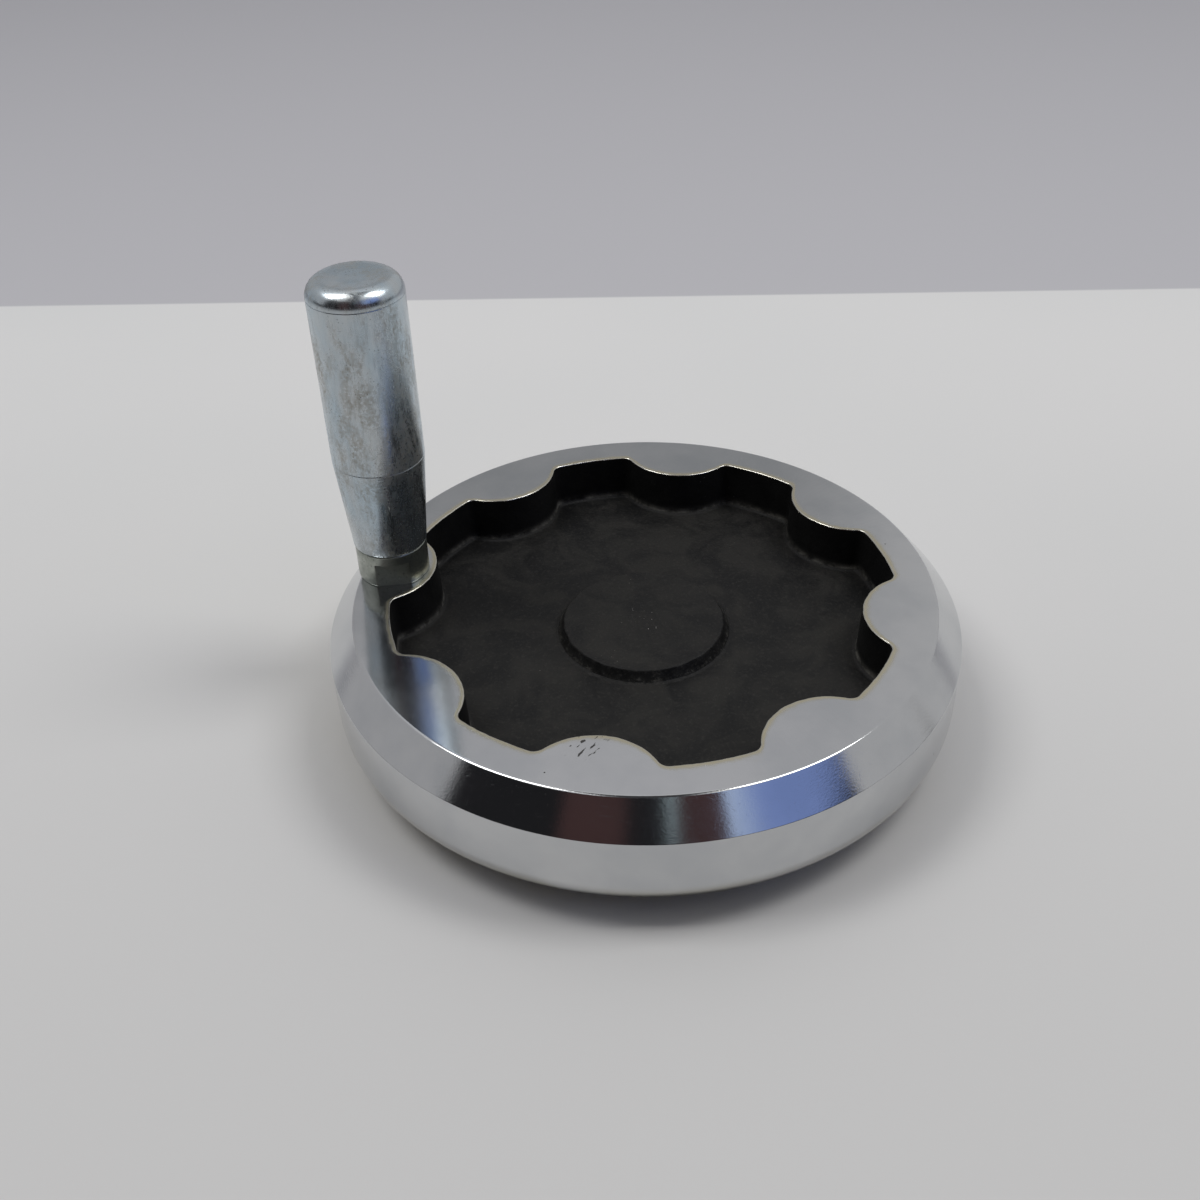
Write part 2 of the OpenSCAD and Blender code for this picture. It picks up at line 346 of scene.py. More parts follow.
def zinc_plated_steel(finish):
    """Turned steel with bright zinc plate: bluish grey and satin, streaked along the grip, with brown
    storage stains, fine dark specks and faint tool marks round it."""
    material, tree, shader, place = new_material("zinc_plated_steel", metallic=1.0)
    streak = noise_node(tree, stretched(tree, place, (1, 1, 0.2)), 1.1 * MM, detail=4, roughness=0.7)
    cloud = noise_node(tree, stretched(tree, place, (1, 1, 0.5)), 9 * MM, detail=4, roughness=0.6)
    colour = lay(tree, finish.zinc_colour, finish.zinc_blue, ramp(tree, cloud, 0.3, 0.7))
    colour = lay(tree, colour, finish.zinc_dull, ramp(tree, streak, 0.45, 0.7), 0.24)
    # stains gather in clouds, run down a little, and break up into fine grains
    where = noise_node(tree, stretched(tree, place, (1, 1, 0.4)), 8 * MM, detail=4, roughness=0.6)
    grains = noise_node(tree, stretched(tree, place, (1, 1, 0.8)), 0.7 * MM, detail=3, roughness=0.75)
    runs = noise_node(tree, stretched(tree, place, (1, 1, 0.35)), 2.2 * MM, detail=3, roughness=0.65)
    broken = times(tree, ramp(tree, grains, 0.3, 0.68), ramp(tree, runs, 0.32, 0.62))
    stain = times(tree, ramp(tree, where, 0.38, 0.6), broken)
    colour = lay(tree, colour, finish.zinc_stain, stain, 0.55)
    sparse = ramp(tree, noise_node(tree, place, 6 * MM), 0.48, 0.62)
    dot = times(tree, spots(tree, place, 1.0 * MM, 0.2, 0.1), sparse)
    colour = lay(tree, colour, finish.zinc_speck, dot, 0.6)
    rough = plus(tree, ramp(tree, streak, 0.3, 0.7, 0.19, 0.28), times(tree, stain, 0.25))
    tool_marks = noise_node(tree, stretched(tree, place, (0.05, 0.05, 1)), 0.35 * MM, detail=1)
    grain = noise_node(tree, place, 0.5 * MM, detail=2)
    bumps = (tool_marks, 0.25, 0.006 * MM), (grain, 0.35, 0.01 * MM), (streak, 0.2, 0.01 * MM)
    finish_shader(tree, shader, colour, rough, *bumps)
    return material


def milled_collar_steel(finish):
    """Zinc-plated steel with milled flats: duller and greener than the grip, with fine cutter marks."""
    material, tree, shader, place = new_material("milled_collar_steel", metallic=1.0)
    cloud = noise_node(tree, place, 4 * MM, detail=4, roughness=0.6)
    colour = lay(tree, finish.collar_colour, finish.collar_dull, ramp(tree, cloud, 0.3, 0.7))
    dark = ramp(tree, noise_node(tree, place, 0.8 * MM, detail=3, roughness=0.7), 0.58, 0.7)
    colour = lay(tree, colour, finish.zinc_speck, dark, 0.5)
    rough = ramp(tree, cloud, 0.3, 0.7, 0.26, 0.4)
    milled = noise_node(tree, stretched(tree, place, (0.1, 0.1, 1)), 0.3 * MM, detail=1)
    bumps = (milled, 0.4, 0.01 * MM), (dark, 0.2, 0.01 * MM)
    finish_shader(tree, shader, colour, rough, *bumps)
    return material


def machined_iron(finish):
    """Bare machined cast iron under a film of oil: mid grey, with the cutter's rings and dark graphite."""
    material, tree, shader, place = new_material("machined_iron", metallic=1.0)
    along = {"W": radius_of(tree, place), "Scale": per(0.3 * MM), "Detail": 1.0}
    rings = add(tree, "ShaderNodeTexNoise", along, noise_dimensions="1D").outputs["Fac"]
    graphite = noise_node(tree, place, 0.4 * MM, detail=3, roughness=0.7)
    cloud = noise_node(tree, place, 7 * MM, detail=3)
    colour = lay(tree, finish.iron_colour, finish.iron_oiled, ramp(tree, cloud, 0.35, 0.7))
    colour = lay(tree, colour, finish.pit_colour, ramp(tree, graphite, 0.55, 0.7), 0.5)
    rough = ramp(tree, graphite, 0.3, 0.7, 0.3, 0.45)
    bumps = (rings, 0.5, 0.01 * MM), (graphite, 0.3, 0.01 * MM)
    finish_shader(tree, shader, colour, rough, *bumps)
    return material


def black_oxide_steel(finish):
    """Alloy steel blackened in hot salts and oiled: near black, satin, a little browner on its edges."""
    material, tree, shader, place = new_material("black_oxide_steel", metallic=1.0)
    cloud = noise_node(tree, place, 1.5 * MM, detail=4, roughness=0.6)
    colour = lay(tree, finish.oxide_colour, finish.oxide_worn, ramp(tree, cloud, 0.35, 0.7))
    rough = ramp(tree, cloud, 0.3, 0.7, 0.32, 0.48)
    grain = noise_node(tree, place, 0.3 * MM, detail=2)
    finish_shader(tree, shader, colour, rough, (grain, 0.3, 0.008 * MM))
    return material


def studio_paper(stage):
    """Matt pale paper laid over a bench, with a faint tooth. It carries painted shade near the viewer, and beyond
    the bench's far edge the backdrop begins."""
    material, tree, shader, place = new_material("studio_paper", metallic=0.0)
    cloud = noise_node(tree, place, 130 * MM, detail=1)
    colour = lay(tree, stage.paper_colour, stage.paper_shade, ramp(tree, cloud, 0.2, 0.8))
    edge_way = Matrix.Rotation(stage.bench_turn, 3, "Z") @ stage_axes(stage)[1]
    depth = add(tree, "ShaderNodeVectorMath", {0: place, 1: tuple(edge_way)}, operation="DOT_PRODUCT")
    depth = depth.outputs["Value"]
    # painted shade: the paper darkens towards the viewer
    colour = lay(tree, colour, stage.paper_near_shade, ramp(tree, depth, 0.28, -0.15))
    beyond = ramp(tree, depth, stage.bench_depth, stage.bench_depth + 2 * MM)
    colour = lay(tree, colour, stage.backdrop_colour, beyond)
    tooth = noise_node(tree, place, 0.9 * MM, detail=2)
    finish_shader(tree, shader, colour, 0.75, (tooth, 0.3, 0.05 * MM))
    return material


FINISHES = {
    "chromium_plate": chromium_plate,
    "black_casting_paint": black_casting_paint,
    "zinc_plated_steel": zinc_plated_steel,
    "milled_collar_steel": milled_collar_steel,
    "machined_iron": machined_iron,
    "black_oxide_steel": black_oxide_steel,
}


def finish_of(context, name):
    """The material of that name, made the first time it is asked for."""
    return bpy.data.materials.get(name) or FINISHES[name](context.scene.handwheel_finish)


# ------------------------------------------------------------------ settings


def length_property(name, description, default):
    """A length in metres that a user can change."""
    return FloatProperty(name=name, description=description, default=default, unit="LENGTH")


def angle_property(name, description, degrees):
    """An angle that a user can change, with its default given in degrees."""
    return FloatProperty(name=name, description=description, default=math.radians(degrees), subtype="ANGLE")


def number_property(name, description, default):
    """A plain number that a user can change."""
    return FloatProperty(name=name, description=description, default=default)


def count_property(name, description, default, least):
    """A whole number that a user can change."""
    return IntProperty(name=name, description=description, default=default, min=least)


def colour_property(name, description, code):
    """A colour that a user can change, with its default given in sRGB hex."""
    return FloatVectorProperty(
        name=name, description=description, subtype="COLOR", size=4, min=0, max=1, default=rgba(code)
    )


# ------------------------------------------------------------------ mesh helpers


def rounded(corners, steps=8, support=0.06 * MM):
    """The open path through (x, z, radius) corners, each rounded by an arc. A support point stands just
    outside each end of an arc, so that smooth shading keeps the flats beside it flat."""
    path = [Vector(corners[0][:2])]
    for before, corner, after in zip(corners, corners[1:], corners[2:]):
        here, radius = Vector(corner[:2]), corner[2]
        back = (Vector(before[:2]) - here).normalized()
        on = (Vector(after[:2]) - here).normalized()
        half = back.angle(on) / 2
        centre = here + (back + on).normalized() * radius / math.sin(half)
        reach = radius / math.tan(half)
        first, last = here + back * reach - centre, here + on * reach - centre
        sweep = first.angle_signed(last)
        path.append(here + back * (reach + support))
        for i in range(steps + 1):
            turn = sweep * i / steps
            c, s = math.cos(turn), -math.sin(turn)
            path.append(centre + Vector((c * first.x - s * first.y, s * first.x + c * first.y)))
        path.append(here + on * (reach + support))
    path.append(Vector(corners[-1][:2]))
    return path


def mesh_from_rows(name, rows, wrap_rows, wrap_columns):
    """A mesh of quads between rows of points, which may close on themselves either way."""
    mesh = bpy.data.meshes.new(name)
    width = len(rows[0])
    row_count = len(rows) if wrap_rows else len(rows) - 1
    column_count = width if wrap_columns else width - 1
    faces = [
        (
            r * width + c,
            r * width + (c + 1) % width,
            (r + 1) % len(rows) * width + (c + 1) % width,
            (r + 1) % len(rows) * width + c,
        )
        for r in range(row_count)
        for c in range(column_count)
    ]
    mesh.from_pydata([p for row in rows for p in row], [], faces)
    mesh.update()
    return mesh


def tidy_mesh(mesh, merge=0.002 * MM):
    """Joins doubled points, drops faces with no area and turns every face outwards."""
    work = bmesh.new()
    work.from_mesh(mesh)
    bmesh.ops.remove_doubles(work, verts=work.verts, dist=merge)
    bmesh.ops.dissolve_degenerate(work, edges=work.edges, dist=merge)
    bmesh.ops.recalc_face_normals(work, faces=work.faces)
    work.to_mesh(mesh)
    work.free()
    mesh.update()


def smooth(mesh, sharp=35.0):
    """Smooth shading, with edges sharper than this many degrees left crisp."""
    mesh.shade_smooth()
    mesh.set_sharp_from_angle(angle=math.radians(sharp))


def link(name, mesh):
    """A new object that holds the mesh at the origin."""
    made = bpy.data.objects.new(name, mesh)
    bpy.context.scene.collection.objects.link(made)
    return made


def lathe(name, profile, angles, centre=(0.0, 0.0), shape=None):
    """Turns (radius, height) points round an upright axis. shape may change the radius at each point."""
    rows = []
    for radius, z in profile:
        row = []
        for a in angles:
            r = shape(radius, z, a) if shape else radius
            row.append((centre[0] + r * math.cos(a), centre[1] + r * math.sin(a), z))
        rows.append(row)
    mesh = mesh_from_rows(name, rows, wrap_rows=False, wrap_columns=True)
    tidy_mesh(mesh)
    return mesh


def even_angles(count):
    """Angles spread evenly over a full turn."""
    return [TURN * i / count for i in range(count)]


def cutter(name, mesh):
    """A hidden object that a Boolean modifier cuts with."""
    made = link(name, mesh)
    made.hide_render = True
    return made


def finished(name, work):
    """A new mesh that holds what was made in a bmesh."""
    mesh = bpy.data.meshes.new(name)
    work.to_mesh(mesh)
    work.free()
    return mesh


def cylinder_mesh(name, radius, low, high, place, direction, sides=64):
    """A closed cylinder from low to high along a direction from a place."""
    work = bmesh.new()
    bmesh.ops.create_cone(
        work,
        cap_ends=True,
        segments=sides,
        radius1=radius,
        radius2=radius,
        depth=high - low,
        matrix=Matrix.Translation((0, 0, (low + high) / 2)),
    )
    turn = Vector((0, 0, 1)).rotation_difference(Vector(direction)).to_matrix().to_4x4()
    bmesh.ops.transform(work, matrix=Matrix.Translation(place) @ turn, verts=work.verts)
    return finished(name, work)


def box_mesh(name, low, high):
    """A closed box between two corners."""
    work = bmesh.new()
    middle = (Vector(low) + Vector(high)) / 2
    size = Vector(high) - Vector(low)
    bmesh.ops.create_cube(work, size=1, matrix=Matrix.Translation(middle) @ Matrix.Diagonal((*size, 1)))
    return finished(name, work)


def evaluated(made, cutters=()):
    """Takes the cuts out of an object, applies all its modifiers and gives the plain mesh."""
    for tool in cutters:
        cut = made.modifiers.new(tool.name, "BOOLEAN")
        cut.operation = "DIFFERENCE"
        cut.solver = "EXACT"
        cut.object = tool
    graph = bpy.context.evaluated_depsgraph_get()
    mesh = bpy.data.meshes.new_from_object(made.evaluated_get(graph))
    for gone in (made, *cutters):
        bpy.data.objects.remove(gone)
    return mesh


def casting_wave(x, y):
    """The slow rise and fall of the cast floor, in metres."""
    slow = noise.noise(Vector((x, y, 0.3)) * per(17 * MM))
    quick = noise.noise(Vector((x, y, 1.7)) * per(4.5 * MM))
    return 0.10 * MM * slow + 0.03 * MM * quick


def set_piece(name, mesh, body, slot, *nodes):
    """Makes the finished piece, hangs it on its body and hides the parts that it stands for. The slot is not used.
    """
    mesh.name = name
    piece = link(name, mesh)
    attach(piece, body)
    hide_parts(*nodes)
    return piece


# ------------------------------------------------------------------ the rim and its pocket


def arc(start, end, steps, extra=0):
    """Unit vectors that turn from one angle towards another. One extra step reaches the end itself."""
    angles = [start + (end - start) * i / steps for i in range(steps + extra)]
    return [Vector((math.cos(a), math.sin(a))) for a in angles]


def pocket_outline(wheel):
    """One lobe's share of the pocket's edge: (point, direction into the pocket) pairs, from the middle of
    one scallop to the middle of the next, with the lobe's tip half way."""
    wall_r = CAD["wheel_r"] - wheel.chamfer_width - wheel.face_width
    pitch_r = wall_r - wheel.lobe_reach + wheel.lobe_radius
    corner_at = wall_r - wheel.corner_radius
    joined = wheel.lobe_radius + wheel.corner_radius
    turn = math.acos((corner_at**2 + pitch_r**2 - joined**2) / (2 * corner_at * pitch_r))
    lobe = Vector((pitch_r, 0))
    corner = Vector((corner_at * math.cos(turn), corner_at * math.sin(turn)))
    lobe_end = math.atan2(corner.y, corner.x - pitch_r)
    corner_start = math.atan2(lobe.y - corner.y, lobe.x - corner.x)
    lobe_arc = arc(math.pi, lobe_end, wheel.lobe_steps)
    corner_arc = arc(corner_start, turn, wheel.corner_steps)
    wall_arc = arc(turn, math.pi / wheel.lobe_count, wheel.wall_steps, extra=1)
    half = [(lobe + out * wheel.lobe_radius, out) for out in lobe_arc]
    half += [(corner + out * wheel.corner_radius, -out) for out in corner_arc]
    half += [(out * wall_r, -out) for out in wall_arc]
    mirrored = [(Vector((p.x, -p.y)), Vector((n.x, -n.y))) for p, n in reversed(half[1:])]
    return mirrored + half


EDGE_STEPS = 6


def pocket_side(wheel):
    """The pocket's side as (offset into the pocket, height) from floor to face: a round foot, a drafted
    wall and a small round edge. Negative offsets lie in the metal, on the front face."""
    foot = wheel.foot_radius
    draft = wheel.wall_draft
    edge = wheel.edge_radius
    return rounded(
        [
            (draft + foot + 0.3 * MM, CAD["floor_z"], 0),
            (draft, CAD["floor_z"], foot),
            (0, CAD["face_z"], edge),
            (-edge - 0.3 * MM, CAD["face_z"], 0),
        ],
        steps=EDGE_STEPS,
    )


def rim_back(wheel):
    """The rim's round from the front face over the chamfer, the band and the back to the web."""
    r, face = CAD["wheel_r"], CAD["face_z"]
    inner = r - wheel.rim_width
    return rounded(
        [
            (r - wheel.chamfer_width - wheel.face_width + 2 * MM, face, 0),
            (r - wheel.chamfer_width, face, wheel.crease_radius),
            (r, face - wheel.chamfer_height, wheel.band_radius),
            (r, CAD["rim_z"], wheel.back_radius),
            (inner, CAD["rim_z"], wheel.back_inner_radius),
            (inner, CAD["web_z"], wheel.root_radius),
            (CAD["web_r"], CAD["web_z"], 0),
        ],
        steps=10,
    )


def rim_sector(wheel):
    """The slice of the rim that holds one lobe. Its painted faces carry an attribute."""
    outline = pocket_outline(wheel)
    around = [math.atan2(p.y, p.x) for p, _ in outline]
    side = pocket_side(wheel)
    back = rim_back(wheel)

    def ring(radius, z):
        return [Vector((radius * math.cos(a), radius * math.sin(a), z)) for a in around]

    def along_outline(offset, z):
        return [Vector((*(p + n * offset), z)) for p, n in outline]

    rows = [ring(CAD["web_r"], CAD["floor_z"])]
    foot = along_outline(*side[0])
    for i in range(1, wheel.floor_rows):
        rows.append([a.lerp(b, i / wheel.floor_rows) for a, b in zip(rows[0], foot)])
    rows += [along_outline(*point) for point in side]
    # the paint stops just inside the round of the pocket's edge
    painted_until = len(rows) - EDGE_STEPS - 2
    last, first = rows[-1], ring(*back[0])
    for i in range(1, wheel.face_rows):
        rows.append([a.lerp(b, (i / wheel.face_rows) ** 1.7) for a, b in zip(last, first)])
    rows += [ring(*point) for point in back]
    painted_from = next(i for i in range(len(rows) - len(back), len(rows)) if is_inner_wall(rows[i], wheel))
    mesh = mesh_from_rows("rim_sector", rows, wrap_rows=True, wrap_columns=False)
    store_edge_wear(mesh, rows, last)
    painted = mesh.attributes.new("painted", "BOOLEAN", "FACE")
    width = len(outline) - 1
    for i, item in enumerate(painted.data):
        row = i // width
        item.value = row < painted_until or row >= painted_from
    return mesh


def store_edge_wear(mesh, rows, edge):
    """Stores how worn the plate is at each point: 1 on the pocket's edge, and less with the distance."""
    wear = mesh.attributes.new("edge_wear", "FLOAT", "POINT")
    for r, row in enumerate(rows):
        for c, point in enumerate(row):
            wear.data[r * len(row) + c].value = math.exp(-(point - edge[c]).length / (1.4 * MM))


def is_inner_wall(row, wheel):
    """True where a row of the section has come round onto the rim's inner wall."""
    inner = CAD["wheel_r"] - wheel.rim_width
    return row[0].xy.length < inner + 0.5 * MM and row[0].z > CAD["rim_z"] + wheel.back_inner_radius / 2


def repeat_round_axis():
    """Geometry nodes that stand copies of a slice round the upright axis, weld them and give them
    their two finishes."""
    tree = bpy.data.node_groups.new("repeat_round_axis", "GeometryNodeTree")
    face = tree.interface
    kinds = {
        "Slice": "Geometry",
        "Count": "Int",
        "Weld distance": "Float",
        "Finish": "Material",
        "Painted finish": "Material",
    }
    for name, kind in kinds.items():
        face.new_socket(name, in_out="INPUT", socket_type=f"NodeSocket{kind}")
    face.items_tree["Weld distance"].subtype = "DISTANCE"
    face.new_socket("Wheel", in_out="OUTPUT", socket_type="NodeSocketGeometry")
    given = add(tree, "NodeGroupInput").outputs
    points = add(tree, "GeometryNodePoints", {"Count": given["Count"]})
    step = math_node(tree, "DIVIDE", TURN, given["Count"])
    turn = times(tree, add(tree, "GeometryNodeInputIndex").outputs[0], step)
    upright = add(tree, "FunctionNodeAxisAngleToRotation", {"Axis": (0, 0, 1), "Angle": turn})
    copies = add(
        tree,
        "GeometryNodeInstanceOnPoints",
        {"Points": points.outputs[0], "Instance": given["Slice"], "Rotation": upright.outputs[0]},
    )
    real = add(tree, "GeometryNodeRealizeInstances", {"Geometry": copies.outputs[0]})
    welded = add(
        tree,
        "GeometryNodeMergeByDistance",
        {"Geometry": real.outputs[0], "Distance": given["Weld distance"]},
    )
    plated = {"Geometry": welded.outputs[0], "Material": given["Finish"]}
    painted = {
        "Geometry": add(tree, "GeometryNodeSetMaterial", plated).outputs[0],
        "Selection": add(
            tree, "GeometryNodeInputNamedAttribute", {"Name": "painted"}, data_type="BOOLEAN"
        ).outputs["Attribute"],
        "Material": given["Painted finish"],
    }
    both = add(tree, "GeometryNodeSetMaterial", painted)
    add(tree, "NodeGroupOutput", {"Wheel": both.outputs[0]})
    return tree


def set_inputs(modifier, values):
    """Sets a Geometry Nodes modifier's inputs by their sockets' identifiers."""
    for item in modifier.node_group.interface.items_tree:
        if item.item_type == "SOCKET" and item.in_out == "INPUT" and item.name in values:
            modifier[item.identifier] = values[item.name]


def roughen_pocket(mesh, wheel):
    """Gives the pocket's side and floor the small unevenness of a sand casting."""
    wall_r = CAD["wheel_r"] - wheel.chamfer_width - wheel.face_width
    for v in mesh.vertices:
        x, y, z = v.co
        r = math.hypot(x, y)
        if r > wall_r + wheel.edge_radius + 0.4 * MM or z < CAD["floor_z"] - 0.1 * MM:
            continue
        up = min(1.0, max(0.0, (z - CAD["floor_z"]) / (3 * MM)))
        slow = noise.noise(v.co * per(5 * MM))
        quick = noise.noise(v.co * per(1.5 * MM))
        shift = up * wheel.casting_rough * (slow + 0.8 * quick)
        v.co.x += x / r * shift
        v.co.y += y / r * shift
        v.co.z += (1 - up) * casting_wave(x, y)
    mesh.update()


class HandwheelWheelSizes(PropertyGroup):
    """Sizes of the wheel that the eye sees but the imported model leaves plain."""

    chamfer_width: length_property("Chamfer width", "Along the radius", 6.7 * MM)
    chamfer_height: length_property("Chamfer height", "Along the axis", 7.7 * MM)
    face_width: length_property("Face width", "Flat face from pocket to chamfer", 9.1 * MM)
    rim_width: length_property("Rim width", "Thickness of the rim's back part", 22 * MM)
    crease_radius: length_property("Crease radius", "Round between face and chamfer", 0.9 * MM)
    band_radius: length_property("Band radius", "Round between chamfer and band", 0.35 * MM)
    back_radius: length_property("Back radius", "Round of the rim's outer back corner", 7 * MM)
    back_inner_radius: length_property("Inner back radius", "Round of the inner back corner", 4 * MM)
    root_radius: length_property("Root radius", "Fillet between rim and web, behind", 3 * MM)
    lobe_count: count_property("Lobes", "Finger lobes round the pocket", 8, 3)
    lobe_radius: length_property("Lobe radius", "Radius of a finger lobe", 16.3 * MM)
    lobe_reach: length_property("Lobe reach", "How far a lobe reaches in", 9.15 * MM)
    corner_radius: length_property("Corner radius", "Round beside each lobe", 2.8 * MM)
    wall_draft: length_property("Draft", "How far the wall leans in at its foot", 0.6 * MM)
    foot_radius: length_property("Foot radius", "Fillet between wall and floor", 1.2 * MM)
    edge_radius: length_property("Edge radius", "Round of the pocket's edge", 0.3 * MM)
    casting_rough: length_property("Casting roughness", "Unevenness of the pocket's side", 0.13 * MM)
    lobe_steps: count_property("Lobe steps", "Points along half a lobe", 24, 4)
    corner_steps: count_property("Corner steps", "Points round a corner", 12, 3)
    wall_steps: count_property("Wall steps", "Points along half a scallop", 10, 2)
    floor_rows: count_property("Floor rows", "Rows of faces on the rim's share of the floor", 5, 2)
    face_rows: count_property("Face rows", "Rows of faces across the front face", 8, 2)
    boss_radius: length_property("Boss radius", "Radius of the blank boss's face", 20.5 * MM)
    boss_lean: length_property("Boss lean", "Spread of the boss's side", 2 * MM)
    hub_radius: length_property("Hub radius", "Radius of the hub behind the web", 20 * MM)
    bore_bevel: length_property("Bore bevel", "Bevel at the bore's mouth", 0.6 * MM)
    bore_depth: length_property("Bore depth", "Depth of the blind bore", 21 * MM)
    key_width: length_property("Key width", "Width of the keyway", 5 * MM)
    key_depth: length_property("Key depth", "Depth of the keyway beyond the bore", 2.3 * MM)
    key_relief: length_property("Key relief", "Length of the run-out recess", 3.5 * MM)
    screw_radius: length_property("Screw hole radius", "Radius of a set screw's hole", 2.54 * MM)
    stud_hole_radius: length_property("Stud hole radius", "Radius of the hole for the handle", 5.04 * MM)
    screw_height: length_property("Screw height", "Set screws above the hub's back", 4.5 * MM)


class HandwheelRim(Operator):
    """Builds the plated rim with its painted, scalloped pocket and its tapped hole"""

    bl_idname = "handwheel.rim"
    bl_label = "Rim"

    def execute(self, context):
        wheel = context.scene.handwheel_wheel
        work = link("rim_slice", rim_sector(wheel))
        repeat = work.modifiers.new("repeat", "NODES")
        repeat.node_group = repeat_round_axis()
        set_inputs(
            repeat,
            {
                "Count": wheel.lobe_count,
                "Weld distance": 0.002 * MM,
                "Finish": finish_of(context, "chromium_plate"),
                "Painted finish": finish_of(context, "black_casting_paint"),
            },
        )
        hole = cylinder_mesh(
            "stud_hole",
            wheel.stud_hole_radius,
            CAD["rim_z"] - MM,
            CAD["face_z"] + MM,
            (CAD["axis_x"], CAD["axis_y"], 0),
            (0, 0, 1),
        )
        mesh = evaluated(work, [cutter("stud_hole", hole)])
        tidy_mesh(mesh)
        roughen_pocket(mesh, wheel)
        smooth(mesh, sharp=50)
        set_piece("rim", mesh, "wheel", "chrome_rim", "wheel_rim")
        return {"FINISHED"}


# ------------------------------------------------------------------ the web and the hub


class HandwheelWeb(Operator):
    """Builds the painted web, whose front is the pocket's floor"""

    bl_idname = "handwheel.web"
    bl_label = "Web"

    def execute(self, context):
        wheel = context.scene.handwheel_wheel
        angles = even_angles(192)
        rings = 24
        inner, outer = wheel.hub_radius, CAD["web_r"]
        front = [(inner + (outer - inner) * i / rings, CAD["floor_z"]) for i in range(rings + 1)]
        back = rounded(
            [
                (outer, CAD["web_z"], 0),
                (inner + 4 * MM, CAD["web_z"], 0.5 * MM),
                (inner + 2.5 * MM, CAD["web_z"] - 0.001 * MM, 0.5 * MM),
                (inner, CAD["web_z"], 0),
            ],
            steps=2,
        )
        profile = front + [tuple(p) for p in back] + [front[0]]
        mesh = lathe("web", profile, angles)
        for v in mesh.vertices:
            if v.co.z > CAD["floor_z"] - 0.1 * MM:
                v.co.z += casting_wave(v.co.x, v.co.y)
        smooth(mesh)
        mesh.materials.append(finish_of(context, "black_casting_paint"))
        set_piece("web", mesh, "wheel", "black_paint", "wheel_web")
        return {"FINISHED"}


def roughen_boss(mesh, wheel):
    """Gives the boss a slow wave on its face and a rough edge and side."""
    for v in mesh.vertices:
        if v.co.z <= CAD["floor_z"] - 0.1 * MM:
            continue
        r = v.co.xy.length
        edge = min(1.0, max(0.0, (r - wheel.boss_radius + 2 * MM) / (2 * MM)))
        rough = edge * (noise.noise(v.co * per(1.6 * MM)) + 0.6 * noise.noise(v.co * per(0.7 * MM)))
        raised = v.co.z + 0.5 * casting_wave(v.co.x, v.co.y) + 0.08 * MM * rough
        spread = 1 + 0.16 * MM * rough / max(r, MM)
        v.co = (v.co.x * spread, v.co.y * spread, min(raised, CAD["boss_z"] + 0.1 * MM))


def hub_cutters(wheel, relief):
    """What is cut out of the hub: the keyway, up to the height of its run-out, and the screws' holes."""
    back, bore_r = CAD["hub_z"], CAD["bore_r"]
    half_key = wheel.key_width / 2
    key_end = (half_key, bore_r + wheel.key_depth, relief + MM)
    tools = [cutter("keyway", box_mesh("keyway", (-half_key, 0, back - MM), key_end))]
    start, end = bore_r / 2, wheel.hub_radius + 5 * MM
    place = (0, 0, back + wheel.screw_height)
    for name, direction in (("screw_hole_0", (1, 0, 0)), ("screw_hole_1", (0, 1, 0))):
        hole = cylinder_mesh(name, wheel.screw_radius, start, end, place, direction)
        tools.append(cutter(name, hole))
    return tools


class HandwheelHub(Operator):
    """Builds the hub: rough painted boss in front, machined face, bore and keyway behind"""

    bl_idname = "handwheel.hub"
    bl_label = "Hub"

    def execute(self, context):
        wheel = context.scene.handwheel_wheel
        floor, boss, back = CAD["floor_z"], CAD["boss_z"], CAD["hub_z"]
        foot_r = wheel.boss_radius + wheel.boss_lean
        bore_r = CAD["bore_r"]
        relief_r = bore_r + wheel.key_depth + 0.5 * MM
        end = back + wheel.bore_depth
        relief = end - wheel.key_relief
        front = rounded(
            [
                (0, boss, 0),
                (wheel.boss_radius, boss, 0.6 * MM),
                (foot_r - 0.4 * MM, floor + 0.25 * MM, 0.4 * MM),
                (foot_r + 0.6 * MM, floor - 0.05 * MM, 0),
            ],
            steps=5,
        )
        rear = rounded(
            [
                (wheel.hub_radius, floor - 0.5 * MM, 0),
                (wheel.hub_radius, back, 0.8 * MM),
                (bore_r + wheel.bore_bevel, back, 0.1 * MM),
                (bore_r, back + wheel.bore_bevel, 0.1 * MM),
                (bore_r, relief, 0.1 * MM),
                (relief_r, relief, 0.1 * MM),
                (relief_r, end, 0.3 * MM),
                (0, end, 0),
            ],
            steps=4,
            support=0.03 * MM,
        )
        boss_face = [(wheel.boss_radius * i / 8, boss) for i in range(8)]
        profile = boss_face + [tuple(p) for p in front[1:] + rear]
        mesh = lathe("hub", profile, even_angles(192))
        roughen_boss(mesh, wheel)
        mesh = evaluated(link("hub_blank", mesh), hub_cutters(wheel, relief))
        tidy_mesh(mesh)
        smooth(mesh, sharp=40)
        mesh.materials.clear()
        mesh.materials.append(finish_of(context, "black_casting_paint"))
        mesh.materials.append(finish_of(context, "machined_iron"))
        for face in mesh.polygons:
            middle = face.center
            in_bore = middle.xy.length < relief_r + 0.2 * MM and middle.z < end + 0.1 * MM
            face.material_index = 1 if in_bore or middle.z < back + 0.5 * MM else 0
        set_piece("hub", mesh, "wheel", "black_paint", "wheel_hub")
        return {"FINISHED"}


# ------------------------------------------------------------------ the handle


